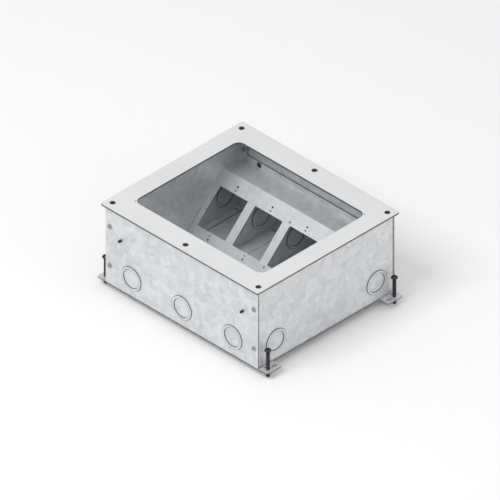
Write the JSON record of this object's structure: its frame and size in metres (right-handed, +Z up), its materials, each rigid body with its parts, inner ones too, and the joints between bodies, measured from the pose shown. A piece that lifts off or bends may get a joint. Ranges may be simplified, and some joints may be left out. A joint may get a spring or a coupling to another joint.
{
  "type": "floor socket box",
  "caption": "Sheet steel floor socket box with a thick top frame, sloped device brackets with windows, dividers, conduit knockouts and levelling screws at its feet.",
  "frame": {"origin": "under the middle of the box, in the plane of the levelling screws' tips that it stands on", "axes": "+X to the right along the long side, +Y to the back, +Z up; the wall seen with three knockouts is at -Y"},
  "size_m": [0.3858, 0.3222, 0.1674],
  "materials": {
    "zinc_sheet": "galvanised sheet, satin",
    "frame_plate": "zinc plated plate, satin",
    "zinc_screw": "bright zinc plated",
    "black_screw": "black oxide"
  },
  "bodies": {
    "box": {"top_frame": "frame_plate", "frame_screws": "black_screw", "frame_clinch_nuts": "zinc_screw", "front_panel": "zinc_sheet", "back_panel": "zinc_sheet", "left_side_panel": "zinc_sheet", "right_side_panel": "zinc_sheet", "front_panel_screws": "zinc_screw", "back_panel_screws": "zinc_screw", "panel_clinch_nuts": "zinc_screw", "bottom_plate": "zinc_sheet", "side_panel_floor_screws": "zinc_screw", "rear_device_bracket": "zinc_sheet", "front_device_bracket": "zinc_sheet", "rear_bracket_screws": "zinc_screw", "front_bracket_screws": "zinc_screw", "rear_divider_1": "zinc_sheet", "rear_divider_2": "zinc_sheet", "rear_divider_3": "zinc_sheet", "front_divider_1": "zinc_sheet", "front_divider_2": "zinc_sheet", "front_divider_3": "zinc_sheet", "rear_divider_floor_screws": "zinc_screw", "front_divider_floor_screws": "zinc_screw", "rear_divider_face_screws": "zinc_screw", "front_divider_face_screws": "zinc_screw", "rear_bracket_floor_screws": "zinc_screw", "front_bracket_floor_screws": "zinc_screw"},
    "levelling_screw_front_left_body": {"levelling_screw_front_left": "black_screw"},
    "levelling_screw_front_right_body": {"levelling_screw_front_right": "black_screw"},
    "levelling_screw_back_left_body": {"levelling_screw_back_left": "black_screw"},
    "levelling_screw_back_right_body": {"levelling_screw_back_right": "black_screw"}
  },
  "joints": [
    {"name": "levelling_front_left_slide", "type": "slide", "parent": "box", "child": "levelling_screw_front_left_body", "axis": [0, 0, 1], "range_m": [-0.036, 0.0095]},
    {"name": "levelling_front_right_slide", "type": "slide", "parent": "box", "child": "levelling_screw_front_right_body", "axis": [0, 0, 1], "range_m": [-0.036, 0.0095]},
    {"name": "levelling_back_left_slide", "type": "slide", "parent": "box", "child": "levelling_screw_back_left_body", "axis": [0, 0, 1], "range_m": [-0.036, 0.0095]},
    {"name": "levelling_back_right_slide", "type": "slide", "parent": "box", "child": "levelling_screw_back_right_body", "axis": [0, 0, 1], "range_m": [-0.036, 0.0095]}
  ]
}
